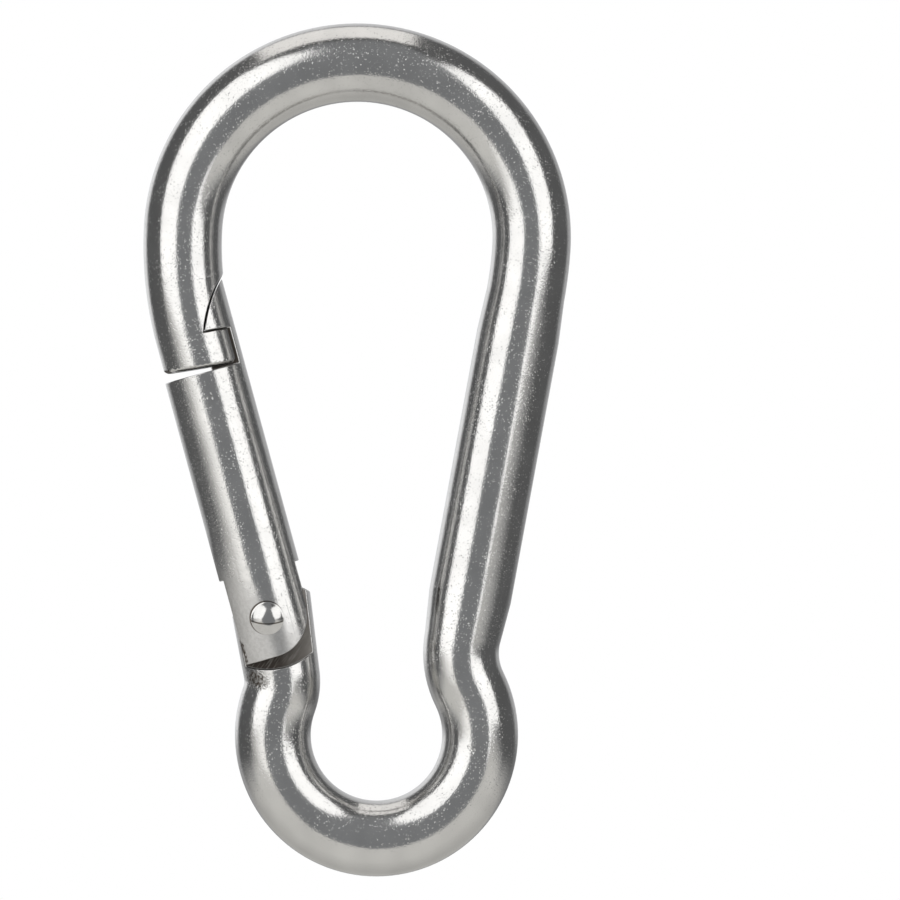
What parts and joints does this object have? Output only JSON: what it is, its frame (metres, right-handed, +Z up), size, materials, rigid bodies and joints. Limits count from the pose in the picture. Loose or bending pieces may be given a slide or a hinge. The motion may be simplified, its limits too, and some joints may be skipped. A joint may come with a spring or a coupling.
{
  "type": "snap hook",
  "caption": "Pear-shaped snap hook bent from round steel bar, with a large and a small bow and a sprung, riveted gate that latches in a slotted nose.",
  "frame": {"origin": "load seat inside the top of the large bow, in the middle of the bar's depth", "axes": "+X to the right with the gate on the left, +Y into the depth away from the viewer, +Z up from the small bow to the large bow"},
  "size_m": [0.0501, 0.01, 0.1],
  "materials": {
    "polished_steel": "polished stainless steel",
    "rivet_steel": "polished, domed by hammering",
    "plunger_steel": "turned",
    "spring_steel": "drawn wire"
  },
  "bodies": {
    "hook": {"hook_body": "polished_steel"},
    "gate_arm": {"gate": "polished_steel", "pivot_rivet": "rivet_steel", "gate_spring": "spring_steel"},
    "plunger": {"spring_plunger": "plunger_steel"}
  },
  "joints": [
    {"name": "gate_hinge", "type": "hinge", "parent": "hook", "child": "gate_arm", "pos_m": [-0.01047, 0, -0.06047], "axis": [0, 1, 0], "range_deg": [0, 42], "stiffness_Nm_per_rad": 0.029, "springref_deg": -173.61},
    {"name": "plunger_slide", "type": "slide", "parent": "gate_arm", "child": "plunger", "axis": [-0.2639, 0, 0.9645], "range_m": [0, 0.00162], "deforming": ["gate_spring"]}
  ],
  "couplings": [
    {"joint": "plunger_slide", "follows": "gate_hinge", "m_per_rad": 0.0022}
  ]
}
